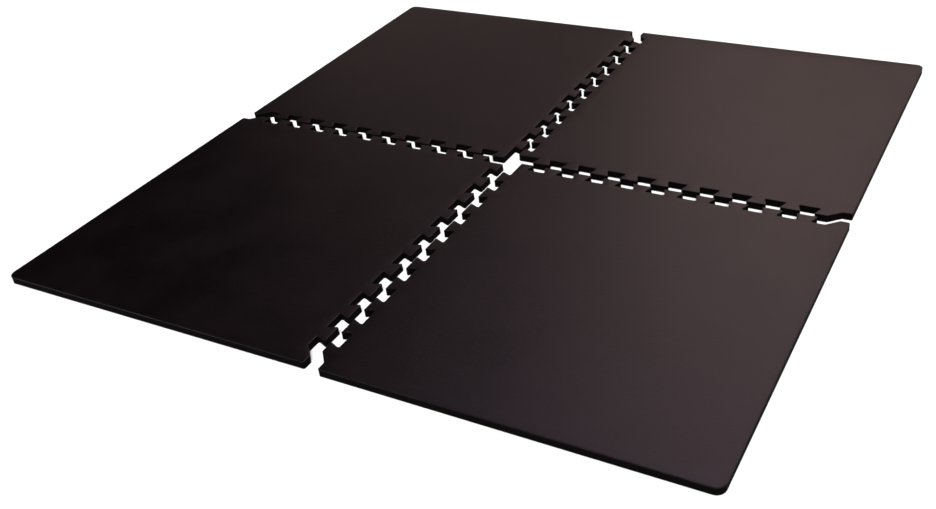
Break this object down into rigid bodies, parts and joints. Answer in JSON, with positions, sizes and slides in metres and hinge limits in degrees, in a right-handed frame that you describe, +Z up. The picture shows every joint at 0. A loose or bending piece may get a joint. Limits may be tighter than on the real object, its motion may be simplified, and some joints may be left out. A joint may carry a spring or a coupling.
{
  "type": "interlocking foam floor mat",
  "caption": "Square floor mat of interlocking foam tiles with dovetail-toothed inner edges and straight outer edges, laid just short of locking.",
  "frame": {"origin": "middle of the laid mat, on the floor", "axes": "+X right along the near edge, +Y away from the near edge, +Z up"},
  "size_m": [1.2324, 1.2302, 0.0127],
  "materials": {
    "foam_near_right": "matt closed-cell foam, finely embossed, dark brown-black",
    "foam_near_left": "matt closed-cell foam, finely embossed, dark brown-black",
    "foam_far_right": "matt closed-cell foam, finely embossed, dark brown-black",
    "foam_far_left": "matt closed-cell foam, finely embossed, dark brown-black"
  },
  "bodies": {
    "near_right": {"tile_near_right": "foam_near_right"},
    "near_left": {"tile_near_left": "foam_near_left"},
    "far_right": {"tile_far_right": "foam_far_right"},
    "far_left": {"tile_far_left": "foam_far_left"}
  },
  "joints": [
    {"name": "lift_near_left", "type": "slide", "parent": "near_right", "child": "near_left", "axis": [0, 0, 1], "range_m": [0, 0.1]},
    {"name": "lift_far_right", "type": "slide", "parent": "near_right", "child": "far_right", "axis": [0, 0, 1], "range_m": [0, 0.1]},
    {"name": "lift_far_left", "type": "slide", "parent": "near_right", "child": "far_left", "axis": [0, 0, 1], "range_m": [0, 0.1]}
  ]
}
